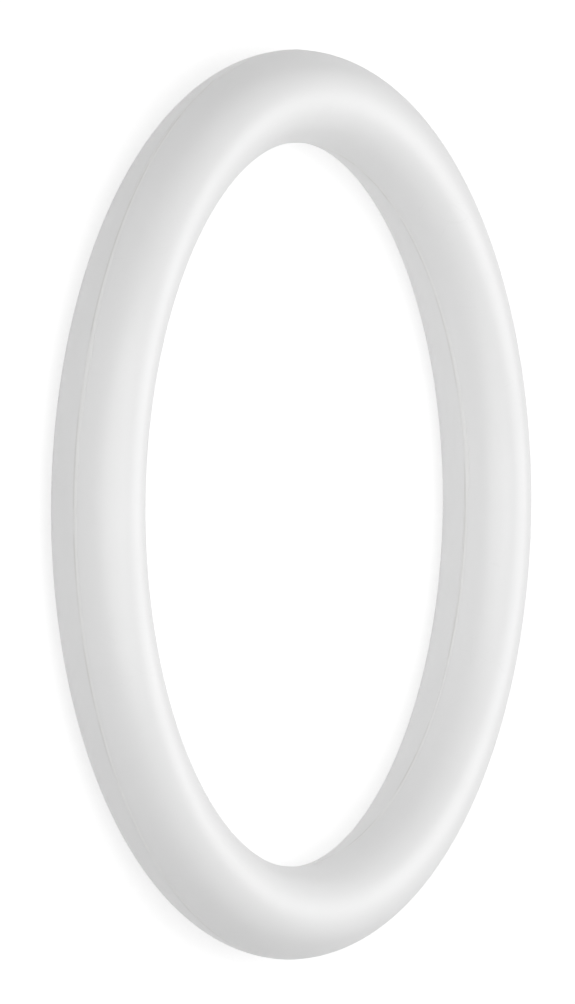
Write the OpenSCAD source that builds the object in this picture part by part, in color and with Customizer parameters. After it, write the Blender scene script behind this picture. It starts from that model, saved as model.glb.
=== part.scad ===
// Rhythmic hand hoop: two moulded half-round shells, joined by a tongue and groove and a glue bead round each rim.
// The ring lies flat on its lower shell. The origin is at the ring's centre, in the plane of the seam, with +Z up.

/* [Ring] */
// Diameter over the outside of the ring, at the seam
ring_od = 235; // [190:1:320]
// Thickness of the round section that the hand holds, across the seam
grip_d = 24; // [20:0.5:36]
// Wall of each shell
wall = 3; // [2.4:0.1:4.5]
// Lean of each shell's wall where it meets the seam, so that it leaves its mould, in degrees
draft = 1; // [0.4:0.1:3]

/* [Tongue and groove] */
// Thickness of the tongue on each rim of the upper shell
tongue_t = 1; // [0.7:0.1:1.3]
// How far a tongue reaches below the seam
tongue_h = 1.2; // [0.8:0.1:2]
// Gap between a tongue and each side of its groove, filled by glue
tongue_gap = 0.1; // [0.05:0.01:0.2]
// Gap between a tongue's tip and the floor of its groove, filled by glue
floor_gap = 0.3; // [0.1:0.05:0.6]

/* [Seam] */
// Thickness of the glue line that shows between the two shells
glue_line = 0.3; // [0.1:0.05:0.6]
// How far the glue line stands proud of the shells
glue_proud = 0.08; // [0.02:0.01:0.15]

/* [Cross ribs] */
// Number of cross ribs in each shell
rib_count = 24; // [8:1:48]
// Thickness of a cross rib
rib_t = 1.5; // [1:0.1:2.5]
// Gap between a rib's edge and the plane of the seam
rib_clear = 1.5; // [0.3:0.1:3]

/* [Locating pins] */
// Number of locating pins on the upper shell, each midway between two ribs
pin_count = 6; // [3:1:8]
// Diameter of a locating pin
pin_d = 3; // [2:0.1:4]
// How far a pin reaches below the seam
pin_len = 5; // [3:0.5:6]
// Bevel round a pin's tip
pin_bevel = 0.5; // [0.2:0.1:0.8]
// Gap all round a pin in its socket
pin_gap = 0.15; // [0.05:0.01:0.3]
// Depth of a socket beyond the tip of its pin
socket_spare = 1; // [0.5:0.1:1.5]
// Wall of the boss round a socket
boss_wall = 1.6; // [1:0.1:2.5]
// Gap between a boss and the plane of the seam
boss_clear = 0.2; // [0.1:0.05:1]

/* [Hidden] */

SHELL_WHITE = [0.95, 0.95, 0.95];
GLUE_WHITE = [0.85, 0.85, 0.84];
ROUND = 256;
SMALL_ROUND = 48;

seam_half_w = grip_d / 2;
// Radius of the circle that the middle of the section follows round the ring.
ring_r = ring_od / 2 - seam_half_w;
// Each shell's arcs are centred beyond the seam by this much, which gives its walls their draft there.
arc_drop = seam_half_w * tan(draft);
outer_arc_r = seam_half_w / cos(draft);
cavity_arc_r = outer_arc_r - wall;
cavity_half_w = sqrt(cavity_arc_r * cavity_arc_r - arc_drop * arc_drop);
// Middle of the wall at the seam, where the tongue stands, from the middle of the section.
rim_mid = (seam_half_w + cavity_half_w) / 2;
groove_w = tongue_t + 2 * tongue_gap;
groove_h = tongue_h + floor_gap;
// The bead's face is an arc that starts and ends at the corners of the two rims.
glue_half = glue_line / 2;
glue_arc_r = (glue_half * glue_half + glue_proud * glue_proud) / (2 * glue_proud);
// Ribs and bosses end in the middle of the wall, so that they join it and don't come through.
root_arc_r = outer_arc_r - wall / 2;
rib_step = 360 / rib_count;
boss_d = pin_d + 2 * pin_gap + 2 * boss_wall;

// Which gap between two ribs the numbered pin stands in.
function pin_bay(number) = floor(number * rib_count / pin_count);

// Flat shapes lie in the section through the ring: x from its middle, away from the ring's axis, and y up.

// The part of a drafted circle that is further above the seam than base.
module half_flat(arc_r, base = 0) {
    intersection() {
        translate([0, -arc_drop]) circle(arc_r, $fn = ROUND);
        translate([-grip_d, base]) square([2 * grip_d, grip_d]);
    }
}

// The tongue, with its root in the wall above it.
module tongue_flat() {
    translate([rim_mid - tongue_t / 2, -tongue_h]) square([tongue_t, tongue_h + wall / 2]);
}

module groove_flat() {
    translate([rim_mid - groove_w / 2, -groove_h]) square([groove_w, 2 * groove_h]);
}

// The gap between the two rims, from the tongue out through the surface.
module rim_gap_flat() {
    translate([rim_mid, -glue_half]) square([grip_d, glue_line]);
}

// The glue of one rim: what fills the groove and the gap, and the low bead that stands proud.
module glue_flat() {
    difference() {
        union() {
            translate([rim_mid - groove_w / 2, -groove_h]) square([groove_w, groove_h]);
            translate([rim_mid, -glue_half]) square([seam_half_w - rim_mid, glue_line]);
            intersection() {
                translate([seam_half_w + glue_proud - glue_arc_r, 0]) circle(glue_arc_r, $fn = SMALL_ROUND);
                rim_gap_flat();
            }
        }
        tongue_flat();
    }
}

// A flat shape of the outer wall, and the same on the inner wall.
module both_walls() {
    children();
    mirror([1, 0]) children();
}

// One shell's wall, as a half-round channel that opens towards the seam.
module channel_flat() {
    difference() {
        half_flat(outer_arc_r);
        half_flat(cavity_arc_r);
        both_walls() rim_gap_flat();
    }
}

// A flat shape turned round the ring's axis.
module round_ring() {
    rotate_extrude($fn = ROUND) translate([ring_r, 0]) children();
}

module cross_ribs() {
    intersection() {
        round_ring() half_flat(root_arc_r, rib_clear);
        for (number = [0 : rib_count - 1]) {
            rotate(number * rib_step) translate([ring_r - grip_d / 2, -rib_t / 2, 0]) cube([grip_d, rib_t, grip_d]);
        }
    }
}

// Places its shape at every locating pin.
module at_pins() {
    for (number = [0 : pin_count - 1]) {
        rotate((pin_bay(number) + 0.5) * rib_step) translate([ring_r, 0, 0]) children();
    }
}

module boss() {
    translate([0, 0, boss_clear]) cylinder(d = boss_d, h = root_arc_r - arc_drop - boss_clear, $fn = SMALL_ROUND);
}

// A pin with its root in the boss above it.
module locating_pin() {
    translate([0, 0, pin_bevel - pin_len]) cylinder(d = pin_d, h = pin_len - pin_bevel + 2 * boss_clear, $fn = SMALL_ROUND);
    translate([0, 0, -pin_len]) cylinder(d1 = pin_d - 2 * pin_bevel, d2 = pin_d, h = pin_bevel, $fn = SMALL_ROUND);
}

// The hole for a pin, cut down from the seam.
module socket() {
    depth = pin_len + socket_spare;
    translate([0, 0, -depth]) cylinder(d = pin_d + 2 * pin_gap, h = depth + grip_d, $fn = SMALL_ROUND);
}

// What both shells have: the channel, its ribs and its bosses, above the seam.
module blank_shell() {
    round_ring() channel_flat();
    cross_ribs();
    at_pins() boss();
}

module upper_shell() {
    color(SHELL_WHITE) {
        blank_shell();
        round_ring() both_walls() tongue_flat();
        at_pins() locating_pin();
    }
}

module lower_shell() {
    color(SHELL_WHITE) difference() {
        mirror([0, 0, 1]) blank_shell();
        round_ring() both_walls() groove_flat();
        at_pins() socket();
    }
}

module outer_glue_bead() {
    color(GLUE_WHITE) round_ring() glue_flat();
}

module inner_glue_bead() {
    color(GLUE_WHITE) round_ring() mirror([1, 0]) glue_flat();
}

upper_shell();
lower_shell();
outer_glue_bead();
inner_glue_bead();
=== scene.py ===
import math

import bmesh
import bpy
from mathutils import Matrix, Vector, noise


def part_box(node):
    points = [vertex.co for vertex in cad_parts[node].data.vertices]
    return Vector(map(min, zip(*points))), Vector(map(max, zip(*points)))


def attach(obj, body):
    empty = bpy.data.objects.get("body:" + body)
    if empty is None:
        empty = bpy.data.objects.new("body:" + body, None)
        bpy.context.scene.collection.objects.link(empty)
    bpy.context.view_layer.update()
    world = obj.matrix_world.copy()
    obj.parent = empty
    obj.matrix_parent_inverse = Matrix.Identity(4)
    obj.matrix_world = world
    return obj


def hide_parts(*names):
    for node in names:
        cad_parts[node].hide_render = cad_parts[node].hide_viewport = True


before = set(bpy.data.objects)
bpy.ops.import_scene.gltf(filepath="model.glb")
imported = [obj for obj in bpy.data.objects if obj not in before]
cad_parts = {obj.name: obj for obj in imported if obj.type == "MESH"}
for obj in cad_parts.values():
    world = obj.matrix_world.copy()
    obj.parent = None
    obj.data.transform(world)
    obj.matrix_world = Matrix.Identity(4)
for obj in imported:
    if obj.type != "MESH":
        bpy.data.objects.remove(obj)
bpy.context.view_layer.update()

# ---------------------------------------------------------------- sizes, in metres

MM = 0.001

# The ring and its two shells
RING_OD = 235 * MM
GRIP_D = 24 * MM
WALL = 3 * MM
DRAFT = math.radians(1)

# Tongue, groove and glue line at each rim
TONGUE_T = 1 * MM
TONGUE_H = 1.2 * MM
TONGUE_GAP = 0.1 * MM
FLOOR_GAP = 0.3 * MM
GLUE_LINE = 0.3 * MM
RIM_ROUND = 0.08 * MM

# The part of each glue line that shows: a thin film with a low ridge on it, which laps over both rims
RIDGE_H = 0.076 * MM
FILM_H = 0.004 * MM
RIDGE_STEPS = 12

# How each glue line was left when it was wiped, at places round the ring in degrees from +X:
# the ridge's height as a share of the highest, and how far it reaches above and below the seam, in mm
OUTER_WIPED = [
    (0, 0.6, 0.4, 0.4), (40, 1, 0.3, 0.5), (80, 0.4, 0.6, 0.4), (120, 0.9, 0.35, 0.35), (165, 1, 0.9, 0.3),
    (195, 1, 0.32, 0.7), (222, 1, 0.3, 1.1), (240, 0.7, 0.5, 0.5), (252, 1, 1.1, 0.3),
    (265, 0.4, 0.6, 0.4), (282, 0.05, 0.5, 0.5), (293, 0.1, 0.5, 0.5), (302, 1, 0.32, 0.32),
    (330, 1, 0.32, 0.32),
]
INNER_WIPED = [
    (12, 0.5, 0.4, 0.4), (30, 0.3, 0.5, 0.5), (47, 0.5, 0.4, 0.5), (60, 1, 0.32, 0.32), (72, 1, 0.32, 0.8),
    (88, 0.8, 0.32, 0.8), (98, 1, 1.1, 0.3), (112, 0.3, 0.7, 0.4), (125, 0.3, 0.5, 0.5), (140, 1, 0.3, 0.5),
    (158, 1, 0.3, 0.8), (200, 0.5, 0.4, 0.4), (250, 1, 0.3, 0.5), (310, 0.6, 0.4, 0.3),
]
# Small unevenness along a line, and the length over which it comes and goes
UNEVEN_SHARE = 0.2
UNEVEN_LENGTH = 6 * MM
# The rough spot on the inner line, where the wiping stopped: its place in degrees, its half length,
# the height and size of its lumps, and what is added to them before the spaces between are cut off
ROUGH_SPOT_AT = 7
ROUGH_SPOT_REACH = 3.6 * MM
ROUGH_SPOT_H = 0.5 * MM
ROUGH_SPOT_GRAIN = 0.9 * MM
ROUGH_SPOT_FILL = 0.3

# Ribs, bosses and pins inside
RIB_COUNT = 24
RIB_T = 1.5 * MM
RIB_CLEAR = 1.5 * MM
PIN_COUNT = 6
PIN_D = 3 * MM
PIN_LEN = 5 * MM
PIN_BEVEL = 0.5 * MM
PIN_GAP = 0.15 * MM
SOCKET_SPARE = 1 * MM
BOSS_WALL = 1.6 * MM
BOSS_CLEAR = 0.2 * MM

# What follows from them
SEAM_HALF_W = GRIP_D / 2
RING_R = RING_OD / 2 - SEAM_HALF_W
ARC_DROP = SEAM_HALF_W * math.tan(DRAFT)
OUTER_ARC_R = SEAM_HALF_W / math.cos(DRAFT)
CAVITY_ARC_R = OUTER_ARC_R - WALL
ROOT_ARC_R = OUTER_ARC_R - WALL / 2
CAVITY_HALF_W = math.sqrt(CAVITY_ARC_R ** 2 - ARC_DROP ** 2)
RIM_MID = (SEAM_HALF_W + CAVITY_HALF_W) / 2
GLUE_HALF = GLUE_LINE / 2
GROOVE_W = TONGUE_T + 2 * TONGUE_GAP
GROOVE_H = TONGUE_H + FLOOR_GAP
LAP_UNIT = GLUE_HALF + RIM_ROUND
BOSS_R = PIN_D / 2 + PIN_GAP + BOSS_WALL
BOSS_TOP = ROOT_ARC_R - ARC_DROP
TABLE_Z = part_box("lower_shell")[0].z

# How finely the round shapes are divided
SHELL_STEPS = 720
GLUE_STEPS = 1800
SECTORS = 24
CROWN_STEPS = 60
CAVITY_STEPS = 20
CORNER_STEPS = 3
RIB_ARC_STEPS = 16
BOSS_STEPS = 32

FULL_TURN = 2 * math.pi
HALF_TURN = math.pi
QUARTER_TURN = math.pi / 2
WELD = 0.012 * MM
OUTSIDE = 1
INSIDE = -1


# ---------------------------------------------------------------- drawing a section and turning it

class SectionPen:
    """Draws an outline across the ring, by distance from its section's middle and height above the seam."""

    def __init__(self, bm, across, up):
        self.bm = bm
        self.tip = bmesh.ops.create_vert(bm, co=(RING_R + across, 0, up))["vert"][0]

    def line_to(self, across, up):
        self.tip = bmesh.ops.extrude_vert_indiv(self.bm, verts=[self.tip])["verts"][0]
        self.tip.co = (RING_R + across, 0, up)

    def turn_about(self, across, up, angle, steps):
        """An arc from the tip about a centre. A positive angle turns from the ring's outside to its crown."""
        spun = bmesh.ops.spin(
            self.bm, geom=[self.tip], cent=(RING_R + across, 0, up), axis=(0, -1, 0),
            angle=angle, steps=steps)
        self.tip = next(part for part in spun["geom_last"] if isinstance(part, bmesh.types.BMVert))


def turn_round_ring(bm, steps):
    """Joins an outline's ends and turns it about the ring's axis into a closed ring, sector by sector."""
    bmesh.ops.remove_doubles(bm, verts=bm.verts, dist=WELD)
    sector = FULL_TURN / SECTORS
    outline = bm.verts[:] + bm.edges[:]
    bmesh.ops.spin(bm, geom=outline, cent=(0, 0, 0), axis=(0, 0, 1), angle=sector, steps=steps // SECTORS)
    whole = bm.verts[:] + bm.edges[:] + bm.faces[:]
    bmesh.ops.spin(
        bm, geom=whole, cent=(0, 0, 0), axis=(0, 0, 1), angle=FULL_TURN - sector, steps=SECTORS - 1,
        use_duplicate=True)
    bmesh.ops.remove_doubles(bm, verts=bm.verts, dist=WELD)
    bmesh.ops.recalc_face_normals(bm, faces=bm.faces)


def repeat_round_ring(bm, parts, count, first_angle):
    """Turns parts to their first place and copies them evenly round the ring."""
    verts = [part for part in parts if isinstance(part, bmesh.types.BMVert)]
    bmesh.ops.rotate(bm, verts=verts, cent=(0, 0, 0), matrix=Matrix.Rotation(first_angle, 3, "Z"))
    step = FULL_TURN / count
    bmesh.ops.spin(
        bm, geom=parts, cent=(0, 0, 0), axis=(0, 0, 1), angle=step * (count - 1), steps=count - 1,
        use_duplicate=True)


def finished(bm, name, material):
    """The mesh as a smooth object of its own."""
    for face in bm.faces:
        face.smooth = True
    mesh = bpy.data.meshes.new(name)
    bm.to_mesh(mesh)
    bm.free()
    mesh.materials.append(material)
    piece = bpy.data.objects.new(name, mesh)
    bpy.context.scene.collection.objects.link(piece)
    return piece


# ---------------------------------------------------------------- the two shells

def draw_rim(pen, side, points):
    for across, up in points:
        pen.line_to(side * across, up)


def channel(bm, key_w, key_up):
    """A shell above the seam. The key on each rim is a tongue if key_up is negative, and else a groove."""
    lip = SEAM_HALF_W - RIM_ROUND
    rise = GLUE_HALF + RIM_ROUND
    start = math.asin((rise + ARC_DROP) / OUTER_ARC_R)
    cavity = math.asin(ARC_DROP / CAVITY_ARC_R)
    rim = [
        (lip, GLUE_HALF),
        (RIM_MID + key_w / 2, GLUE_HALF),
        (RIM_MID + key_w / 2, key_up),
        (RIM_MID - key_w / 2, key_up),
        (RIM_MID - key_w / 2, 0),
        (CAVITY_HALF_W, 0),
    ]
    pen = SectionPen(bm, OUTER_ARC_R * math.cos(start), OUTER_ARC_R * math.sin(start) - ARC_DROP)
    pen.turn_about(0, -ARC_DROP, HALF_TURN - 2 * start, CROWN_STEPS)
    pen.turn_about(-lip, rise, QUARTER_TURN, CORNER_STEPS)
    draw_rim(pen, INSIDE, rim[1:])
    pen.turn_about(0, -ARC_DROP, 2 * cavity - HALF_TURN, CAVITY_STEPS)
    draw_rim(pen, OUTSIDE, reversed(rim[:-1]))
    pen.turn_about(lip, rise, QUARTER_TURN, CORNER_STEPS)
    turn_round_ring(bm, SHELL_STEPS)


def cross_ribs(bm):
    """Ribs across the channel, with their round edges in the middle of its wall."""
    before = set(bm.verts)
    start = math.asin((RIB_CLEAR + ARC_DROP) / ROOT_ARC_R)
    pen = SectionPen(bm, ROOT_ARC_R * math.cos(start), RIB_CLEAR)
    pen.turn_about(0, -ARC_DROP, HALF_TURN - 2 * start, RIB_ARC_STEPS)
    outline = [vert for vert in bm.verts if vert not in before]
    face = bmesh.ops.contextual_create(bm, geom=outline)["faces"][0]
    grown = bmesh.ops.extrude_face_region(bm, geom=[face])["geom"]
    grown_verts = [part for part in grown if isinstance(part, bmesh.types.BMVert)]
    bmesh.ops.translate(bm, verts=outline, vec=(0, -RIB_T / 2, 0))
    bmesh.ops.translate(bm, verts=grown_verts, vec=(0, RIB_T / 2, 0))
    repeat_round_ring(bm, parts_since(bm, before), RIB_COUNT, 0)


def parts_since(bm, before):
    """The vertices that are not in before, with the edges and faces between them."""
    verts = [vert for vert in bm.verts if vert not in before]
    new = set(verts)
    edges = [edge for edge in bm.edges if all(vert in new for vert in edge.verts)]
    faces = [face for face in bm.faces if all(vert in new for vert in face.verts)]
    return verts + edges + faces


def boss(bm):
    """A boss on the channel's floor. Gives back its end face, which looks at the seam."""
    made = bmesh.ops.create_cone(
        bm, cap_ends=True, segments=BOSS_STEPS, radius1=BOSS_R, radius2=BOSS_R, depth=BOSS_TOP - BOSS_CLEAR,
        matrix=Matrix.Translation((RING_R, 0, (BOSS_TOP + BOSS_CLEAR) / 2)))
    faces = {face for vert in made["verts"] for face in vert.link_faces}
    return min(faces, key=lambda face: face.calc_center_median().z)


def sink(bm, face, depth):
    """Moves a face straight into or out of a boss, leaving a wall behind it, and gives back the face."""
    grown = bmesh.ops.extrude_discrete_faces(bm, faces=[face])["faces"][0]
    bmesh.ops.translate(bm, verts=grown.verts[:], vec=(0, 0, depth))
    return grown


def pins(bm):
    """Bosses with locating pins that reach below the seam."""
    before = set(bm.verts)
    end = boss(bm)
    bmesh.ops.inset_individual(bm, faces=[end], thickness=BOSS_R - PIN_D / 2)
    end = sink(bm, end, PIN_BEVEL - PIN_LEN - BOSS_CLEAR)
    end = sink(bm, end, -PIN_BEVEL)
    shrink = 1 - 2 * PIN_BEVEL / PIN_D
    middle = end.calc_center_median()
    bmesh.ops.scale(
        bm, verts=end.verts[:], vec=(shrink, shrink, 1), space=Matrix.Translation(-middle))
    repeat_round_ring(bm, parts_since(bm, before), PIN_COUNT, HALF_TURN / RIB_COUNT)


def sockets(bm):
    """Bosses with holes for the pins."""
    before = set(bm.verts)
    end = boss(bm)
    bmesh.ops.inset_individual(bm, faces=[end], thickness=BOSS_WALL)
    sink(bm, end, PIN_LEN + SOCKET_SPARE - BOSS_CLEAR)
    repeat_round_ring(bm, parts_since(bm, before), PIN_COUNT, HALF_TURN / RIB_COUNT)


def upper_shell(material):
    bm = bmesh.new()
    channel(bm, TONGUE_T, -TONGUE_H)
    cross_ribs(bm)
    pins(bm)
    bmesh.ops.recalc_face_normals(bm, faces=bm.faces)
    return finished(bm, "upper_shell_moulding", material)


def lower_shell(material):
    bm = bmesh.new()
    channel(bm, GROOVE_W, GROOVE_H)
    cross_ribs(bm)
    sockets(bm)
    bmesh.ops.scale(bm, verts=bm.verts, vec=(1, 1, -1))
    bmesh.ops.recalc_face_normals(bm, faces=bm.faces)
    return finished(bm, "lower_shell_moulding", material)


# ---------------------------------------------------------------- the glue lines

def shell_reach(up):
    """How far the shells' outside is from the middle of the section, at a height close to the seam."""
    return math.sqrt(OUTER_ARC_R ** 2 - (abs(up) + ARC_DROP) ** 2)


def glue_outline(bm, side):
    """The glue of one rim: round the tongue, out between the rims, and lapped over them.
    The lap is drawn flush with the shells, from one unit below the seam to one above, and shaped later."""
    near_groove, far_groove = RIM_MID - GROOVE_W / 2, RIM_MID + GROOVE_W / 2
    near_tongue, far_tongue = RIM_MID - TONGUE_T / 2, RIM_MID + TONGUE_T / 2
    under_lap = SEAM_HALF_W - RIM_ROUND
    path = [(near_groove, 0), (near_groove, -GROOVE_H), (far_groove, -GROOVE_H)]
    path += [(far_groove, -GLUE_HALF), (under_lap, -GLUE_HALF)]
    for step in range(RIDGE_STEPS + 1):
        up = LAP_UNIT * (2 * step / RIDGE_STEPS - 1)
        path.append((shell_reach(up), up))
    path += [(under_lap, GLUE_HALF), (far_tongue, GLUE_HALF)]
    path += [(far_tongue, -TONGUE_H), (near_tongue, -TONGUE_H)]
    pen = SectionPen(bm, side * near_tongue, 0)
    draw_rim(pen, side, path + [(near_tongue, 0)])
    turn_round_ring(bm, GLUE_STEPS)


def wiped_at(places, degrees):
    """The ridge's height share and two reaches at a place round the ring, eased between those given."""
    later = next((number for number, place in enumerate(places) if place[0] > degrees), 0)
    before, after = places[later - 1], places[later]
    span = (after[0] - before[0]) % 360
    share = ((degrees - before[0]) % 360) / span
    ease = share * share * (3 - 2 * share)
    return [low + (high - low) * ease for low, high in zip(before[1:], after[1:])]


def unevenness(point, length):
    """From 0 to 1, coming and going over a length along the ring."""
    return 0.5 + 0.5 * noise.noise(point / length)


def rough_spot(point, degrees):
    """How much the inner line stands up in lumps at its rough spot."""
    away = math.radians(abs(degrees - ROUGH_SPOT_AT)) * (RING_R - SEAM_HALF_W)
    if away > ROUGH_SPOT_REACH:
        return 0
    fade = 1 - (away / ROUGH_SPOT_REACH) ** 2
    return ROUGH_SPOT_H * fade * max(0, noise.noise(point / ROUGH_SPOT_GRAIN) + ROUGH_SPOT_FILL)


def shape_lap(vert, side, places):
    """Moves one point of the lap to where the glue was left."""
    flat = Vector((vert.co.x, vert.co.y, 0))
    outward = side * flat.normalized()
    degrees = math.degrees(math.atan2(vert.co.y, vert.co.x)) % 360
    height, lap_up, lap_down = wiped_at(places, degrees)
    share = vert.co.z / LAP_UNIT
    crest = (1 - share ** 2) ** 2
    uneven = 1 - UNEVEN_SHARE * unevenness(flat, UNEVEN_LENGTH)
    lift = FILM_H + RIDGE_H * height * uneven * crest
    if side == INSIDE:
        lift += rough_spot(vert.co, degrees) * crest
    up = share * (lap_up if share > 0 else lap_down) * MM
    across = side * shell_reach(up) + RING_R
    vert.co = flat.normalized() * across + outward * lift + Vector((0, 0, up))


def glue_bead(name, side, places, material):
    bm = bmesh.new()
    glue_outline(bm, side)
    least = shell_reach(LAP_UNIT) - WELD
    for vert in bm.verts:
        across = side * (math.hypot(vert.co.x, vert.co.y) - RING_R)
        if across > least:
            shape_lap(vert, side, places)
    return finished(bm, name, material)


# ---------------------------------------------------------------- finishes

# White moulded plastic, with the fine grain of a spark-eroded mould
SHELL_WHITE = (0.85, 0.85, 0.85, 1)
# The darker colour serves the flow marks and scuffs, and the painted shade under the glue line
SHELL_SOILED_AND_SHADED = (0.7, 0.7, 0.69, 1)
SHELL_ROUGHNESS = 0.36
SHELL_IOR = 1.49
# Cured glue, a little warmer and wetter than the plastic
GLUE_WHITE = (0.86, 0.86, 0.855, 1)
# The darker colour serves the flow marks and scuffs, and the painted shade under the glue line
GLUE_SOILED_AND_SHADED = (0.7, 0.69, 0.67, 1)
GLUE_ROUGHNESS = 0.28
GLUE_IOR = 1.5
# From what level of its clouds each effect starts to show, and from what level it is full
FLOW_LEVELS = (0.35, 0.7)
SCUFF_LEVELS = (0.5, 0.66)
# The last pair of levels sets where the painted shade under the seam shows along the ring
SEAM_SHADE_LEVELS = (0.36, 0.56)
# How far the flow marks curl, and how the hairlines of a scuff are packed, turned and drawn out
FLOW_CURL = 0.8
HAIRLINES_PER_SCUFF = 4
HAIRLINE_TURN = (0.5, 0.9, 0.3)
HAIRLINE_STRETCH = (1, 0.15, 1)
# The length over which the painted shade under the seam comes and goes
SEAM_SHADE_STRETCH = 20 * MM


class Patch:
    """Places nodes in a node tree and joins them."""

    def __init__(self, tree):
        self.tree = tree

    def node(self, kind, **settings):
        node = self.tree.nodes.new(kind)
        for name, value in settings.items():
            setattr(node, name, value)
        return node

    def feed(self, socket, value):
        if isinstance(value, bpy.types.NodeSocket):
            self.tree.links.new(value, socket)
        else:
            socket.default_value = value

    def math(self, operation, *values):
        node = self.node("ShaderNodeMath", operation=operation)
        for number, value in enumerate(values):
            self.feed(node.inputs[number], value)
        return node.outputs["Value"]

    def cloud(self, place, scale, detail=3, warp=0):
        """Noise about 0.5, over a place."""
        node = self.node("ShaderNodeTexNoise")
        self.feed(node.inputs["Vector"], place)
        self.feed(node.inputs["Scale"], scale)
        node.inputs["Detail"].default_value = detail
        node.inputs["Distortion"].default_value = warp
        return node.outputs["Fac"]

    def between(self, value, low, high):
        """Rises smoothly from 0 at low to 1 at high."""
        node = self.node("ShaderNodeMapRange", interpolation_type="SMOOTHSTEP")
        self.feed(node.inputs["Value"], value)
        self.feed(node.inputs["From Min"], low)
        self.feed(node.inputs["From Max"], high)
        return node.outputs["Result"]

    def mixed(self, share, first, second):
        node = self.node("ShaderNodeMix", data_type="RGBA")
        self.feed(node.inputs["Factor"], share)
        self.feed(node.inputs["A"], first)
        self.feed(node.inputs["B"], second)
        return node.outputs["Result"]

    def use(self, group, **values):
        node = self.node("ShaderNodeGroup", node_tree=group)
        for name, value in values.items():
            self.feed(node.inputs[name], value)
        return node.outputs


def effect(name, inputs, output):
    """A node group with number inputs and one output: its patch, its inputs and the socket to fill."""
    tree = bpy.data.node_groups.new(name, "ShaderNodeTree")
    for label, value in inputs.items():
        socket = tree.interface.new_socket(label, in_out="INPUT", socket_type="NodeSocketFloat")
        socket.default_value = value
    tree.interface.new_socket(output, in_out="OUTPUT", socket_type="NodeSocketFloat")
    patch = Patch(tree)
    given = patch.node("NodeGroupInput").outputs
    result = patch.node("NodeGroupOutput").inputs[output]
    return patch, given, result


def place_on_piece(patch):
    return patch.node("ShaderNodeTexCoord").outputs["Object"]


def fine_grain():
    """Mould grain with a slight ripple under it. Sizes are in metres."""
    patch, given, result = effect(
        "fine_grain", {"Grain": 0.3 * MM, "Ripple": 6 * MM, "Ripple_Share": 0.5}, "Height")
    place = place_on_piece(patch)
    grain = patch.cloud(place, patch.math("DIVIDE", 1, given["Grain"]), detail=2)
    ripple = patch.cloud(place, patch.math("DIVIDE", 1, given["Ripple"]), detail=1)
    rippled = patch.math("MULTIPLY", ripple, given["Ripple_Share"])
    patch.feed(result, patch.math("ADD", grain, rippled))
    return patch.tree


def flow_marks():
    """Slow clouds left by the plastic as it filled the mould."""
    patch, given, result = effect("flow_marks", {"Size": 30 * MM, "Strength": 1.0}, "Mark")
    scale = patch.math("DIVIDE", 1, given["Size"])
    cloud = patch.cloud(place_on_piece(patch), scale, detail=4, warp=FLOW_CURL)
    marked = patch.between(cloud, *FLOW_LEVELS)
    patch.feed(result, patch.math("MULTIPLY", marked, given["Strength"]))
    return patch.tree


def handling_scuffs():
    """Short hairlines in patches, where hands and floors have rubbed."""
    patch, given, result = effect(
        "handling_scuffs", {"Length": 20 * MM, "Thickness": 0.02, "Strength": 1.0}, "Scuff")
    place = place_on_piece(patch)
    stretched = patch.node("ShaderNodeMapping")
    stretched.inputs["Rotation"].default_value = HAIRLINE_TURN
    stretched.inputs["Scale"].default_value = HAIRLINE_STRETCH
    patch.feed(stretched.inputs["Vector"], place)
    cracks = patch.node("ShaderNodeTexVoronoi", feature="DISTANCE_TO_EDGE")
    patch.feed(cracks.inputs["Vector"], stretched.outputs["Vector"])
    patch.feed(cracks.inputs["Scale"], patch.math("DIVIDE", HAIRLINES_PER_SCUFF, given["Length"]))
    hairline = patch.math("SUBTRACT", 1, patch.between(cracks.outputs["Distance"], 0, given["Thickness"]))
    cloud = patch.cloud(place, patch.math("DIVIDE", 1, given["Length"]), detail=2)
    patches = patch.between(cloud, *SCUFF_LEVELS)
    scuffed = patch.math("MULTIPLY", hairline, patches)
    patch.feed(result, patch.math("MULTIPLY", scuffed, given["Strength"]))
    return patch.tree


def seam_dirt():
    """Painted shade: a dark line under the glue's lower edge, in stretches. Below and Reach place it, in
    metres.
    """
    patch, given, result = effect(
        "seam_dirt", {"Below": 0.3 * MM, "Reach": 0.3 * MM, "Stretch": SEAM_SHADE_STRETCH, "Strength": 1.0}, "Painted_Shade")
    place = place_on_piece(patch)
    parted = patch.node("ShaderNodeSeparateXYZ")
    patch.feed(parted.inputs["Vector"], place)
    away = patch.math("ABSOLUTE", patch.math("ADD", parted.outputs["Z"], given["Below"]))
    shade_band = patch.math("SUBTRACT", 1, patch.between(away, 0, given["Reach"]))
    cloud = patch.cloud(place, patch.math("DIVIDE", 1, given["Stretch"]), detail=3)
    stretches = patch.between(cloud, *SEAM_SHADE_LEVELS)
    dirty = patch.math("MULTIPLY", shade_band, stretches)
    patch.feed(result, patch.math("MULTIPLY", dirty, given["Strength"]))
    return patch.tree


GRAIN, FLOW, SCUFFS, SEAM_PAINTED_SHADE = fine_grain(), flow_marks(), handling_scuffs(), seam_dirt()


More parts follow.
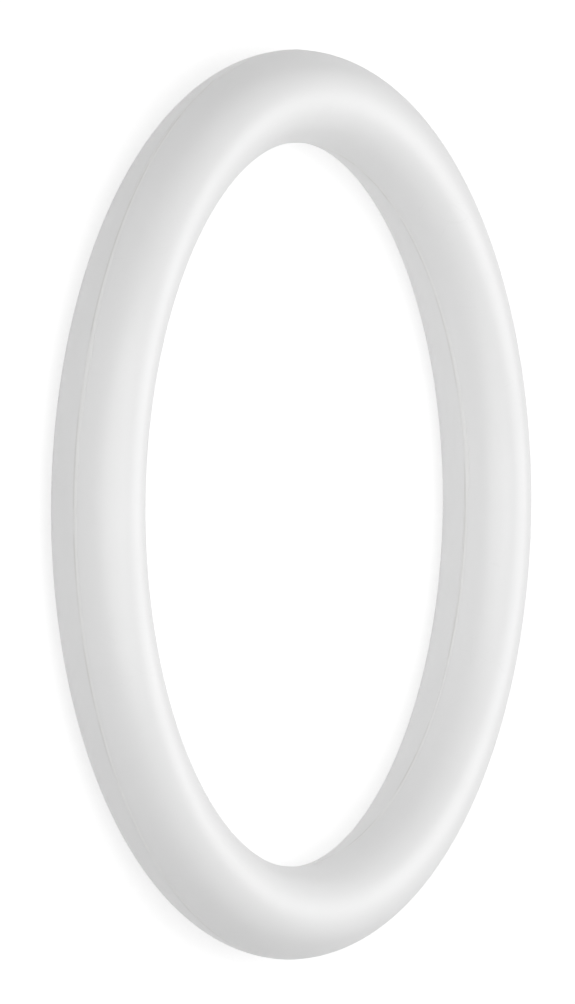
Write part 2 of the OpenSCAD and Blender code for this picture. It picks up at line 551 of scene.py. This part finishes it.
def plastic(name, clean, soiled_and_shaded, roughness, ior, grain_depth, soiling_and_shade, roughening, **sizes):
    """A finish whose colour, gloss and surface change with the shared effects: flow marks and scuffs, which
    are real marks, and painted shade under the seam.
    """
    material = bpy.data.materials.new(name)
    material.use_nodes = True
    patch = Patch(material.node_tree)
    shader = material.node_tree.nodes["Principled BSDF"]
    shader.inputs["IOR"].default_value = ior
    flow = patch.use(FLOW, Size=sizes["flow"], Strength=soiling_and_shade["flow"])["Mark"]
    scuff = patch.use(SCUFFS, Length=sizes["scuff"], Strength=soiling_and_shade["scuff"])["Scuff"]
    # The seam group paints shade under the glue's lower edge; it is added to the flow marks and scuffs, which
    # are real marks
    shade_band = patch.use(SEAM_PAINTED_SHADE, Below=sizes["under"], Reach=sizes["dirt"], Strength=soiling_and_shade["dirt"])
    dirt = shade_band["Painted_Shade"]
    soil_and_shade = patch.math("ADD", patch.math("ADD", flow, scuff), dirt)
    patch.feed(shader.inputs["Base Color"], patch.mixed(soil_and_shade, clean, soiled_and_shaded))
    patch.feed(shader.inputs["Roughness"], patch.math("MULTIPLY_ADD", soil_and_shade, roughening, roughness))
    bump = patch.node("ShaderNodeBump")
    bump.inputs["Strength"].default_value = 1
    bump.inputs["Distance"].default_value = grain_depth
    grain = patch.use(GRAIN, Grain=sizes["grain"], Ripple=sizes["ripple"], Ripple_Share=sizes["rippling"])
    patch.feed(bump.inputs["Height"], grain["Height"])
    patch.feed(shader.inputs["Normal"], bump.outputs["Normal"])
    return material


def moulded_white():
    return plastic(
        "white_satin_plastic", SHELL_WHITE, SHELL_SOILED_AND_SHADED, SHELL_ROUGHNESS, SHELL_IOR,
        # The strength and reach given for the seam mark paint shade under the glue's lower edge
        grain_depth=0.004 * MM, soiling_and_shade={"flow": 0.06, "scuff": 0.1, "dirt": 0.55}, roughening=0.35,
        flow=35 * MM, scuff=18 * MM, under=0.34 * MM, dirt=0.4 * MM,
        grain=0.35 * MM, ripple=7 * MM, rippling=3)


def cured_glue():
    return plastic(
        "cured_glue", GLUE_WHITE, GLUE_SOILED_AND_SHADED, GLUE_ROUGHNESS, GLUE_IOR,
        # The strength and reach given for the seam mark paint shade under the glue's lower edge
        grain_depth=0.006 * MM, soiling_and_shade={"flow": 0.08, "scuff": 0.06, "dirt": 0.55}, roughening=0.4,
        flow=8 * MM, scuff=6 * MM, under=0.34 * MM, dirt=0.4 * MM,
        grain=0.6 * MM, ripple=2.5 * MM, rippling=2)


shell_white = moulded_white()
glue_white = cured_glue()

PIECES = [
    (upper_shell(shell_white), "upper_shell", "white_shell"),
    (lower_shell(shell_white), "lower_shell", "white_shell"),
    (glue_bead("outer_glue_line", OUTSIDE, OUTER_WIPED, glue_white), "outer_glue_bead", "cured_glue"),
    (glue_bead("inner_glue_line", INSIDE, INNER_WIPED, glue_white), "inner_glue_bead", "cured_glue"),
]
for piece, node, slot in PIECES:
    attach(piece, "root")
    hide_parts(node)


# ---------------------------------------------------------------- table, light and camera

# The table stands for a white sweep lit from below. It glows more to the camera than to the ring,
# so that the ring throws only a faint shade in the view.
TABLE_HALF_WIDTH = 20
SWEEP_WHITE = (0.65, 0.65, 0.65, 1)
SWEEP_ROUGHNESS = 0.9
TABLE_GLOW = 0.3
SWEEP_GLOW = 0.6
SWEEP_SHADE = 0.5

# The lamps stand round the ring and look at its centre. Each is turned from +X and raised above the table,
# in degrees, and has a width in metres and a strength in watts.
LAMP_DISTANCE = 1.5
LAMPS = {
    "front_upper_softbox": (270, 66, 1.9, 21.5),
    "overhead_softbox": (90, 78, 1.2, 1.2),
    "rear_softbox": (90, 48, 1.0, 6.2),
    "back_wall": (90, 14, 1.6, 4.0),
}
ROOM_GLOW = 0.08

# The camera looks along +Y and down on the ring. It is held on its side, so that up in the room
# is right in the view.
CAMERA_ELEVATION = math.radians(28.4)
CAMERA_DISTANCE = 26.85 * RING_R
CAMERA_LENS = 393
CAMERA_SENSOR = 36
CAMERA_ROLL = math.radians(-90.5)
CAMERA_REACH = 100
LOOK_RIGHT = -3 * MM
LOOK_UP = 0.66 * MM


def aim(thing, eye, target, roll=0.0):
    """Places a lamp or camera at eye, looking at target, rolled clockwise as it looks."""
    look = (target - eye).to_track_quat("-Z", "Y").to_matrix().to_4x4()
    thing.matrix_world = Matrix.Translation(eye) @ look @ Matrix.Rotation(-roll, 4, "Z")


def sweep_white():
    """White to the ring and to the lamps, and glowing to the camera."""
    material = bpy.data.materials.new("sweep_white")
    material.use_nodes = True
    nodes, links = material.node_tree.nodes, material.node_tree.links
    surface = nodes["Principled BSDF"]
    surface.inputs["Base Color"].default_value = SWEEP_WHITE
    surface.inputs["Roughness"].default_value = SWEEP_ROUGHNESS
    surface.inputs["Emission Color"].default_value = (1, 1, 1, 1)
    surface.inputs["Emission Strength"].default_value = TABLE_GLOW
    glow = nodes.new("ShaderNodeEmission")
    glow.inputs["Strength"].default_value = SWEEP_GLOW / (1 - SWEEP_SHADE)
    shaded = nodes.new("ShaderNodeMixShader")
    shaded.inputs["Fac"].default_value = SWEEP_SHADE
    seen = nodes.new("ShaderNodeMixShader")
    ray = nodes.new("ShaderNodeLightPath")
    links.new(glow.outputs["Emission"], shaded.inputs[1])
    links.new(surface.outputs["BSDF"], shaded.inputs[2])
    links.new(ray.outputs["Is Camera Ray"], seen.inputs["Fac"])
    links.new(surface.outputs["BSDF"], seen.inputs[1])
    links.new(shaded.outputs["Shader"], seen.inputs[2])
    links.new(seen.outputs["Shader"], nodes["Material Output"].inputs["Surface"])
    return material


def table():
    bm = bmesh.new()
    place = Matrix.Translation((0, 0, TABLE_Z))
    bmesh.ops.create_grid(bm, x_segments=1, y_segments=1, size=TABLE_HALF_WIDTH, matrix=place)
    finished(bm, "table_top", sweep_white())


def soft_light(name, turned, raised, width, watts):
    data = bpy.data.lights.new(name, "AREA")
    data.shape = "DISK"
    data.size = width
    data.energy = watts
    lamp = bpy.data.objects.new(name, data)
    bpy.context.scene.collection.objects.link(lamp)
    turned, raised = math.radians(turned), math.radians(raised)
    level = Vector((math.cos(turned), math.sin(turned), 0)) * math.cos(raised)
    aim(lamp, (level + Vector((0, 0, math.sin(raised)))) * LAMP_DISTANCE, Vector((0, 0, 0)))
    lamp.visible_camera = False


def surroundings():
    world = bpy.data.worlds.new("studio")
    world.use_nodes = True
    background = world.node_tree.nodes["Background"]
    background.inputs["Color"].default_value = (1, 1, 1, 1)
    background.inputs["Strength"].default_value = ROOM_GLOW
    bpy.context.scene.world = world


def camera():
    data = bpy.data.cameras.new("camera")
    data.lens = CAMERA_LENS
    data.sensor_width = CAMERA_SENSOR
    data.clip_end = CAMERA_REACH
    holder = bpy.data.objects.new("camera", data)
    bpy.context.scene.collection.objects.link(holder)
    back = Vector((0, -math.cos(CAMERA_ELEVATION), math.sin(CAMERA_ELEVATION)))
    screen_right = Vector((0, math.sin(CAMERA_ELEVATION), math.cos(CAMERA_ELEVATION)))
    screen_up = Vector((-1, 0, 0))
    aim(holder, back * CAMERA_DISTANCE, screen_right * LOOK_RIGHT + screen_up * LOOK_UP, CAMERA_ROLL)
    bpy.context.scene.camera = holder


table()
surroundings()
for name, placing in LAMPS.items():
    soft_light(name, *placing)
camera()
bpy.context.scene.view_settings.view_transform = "Standard"
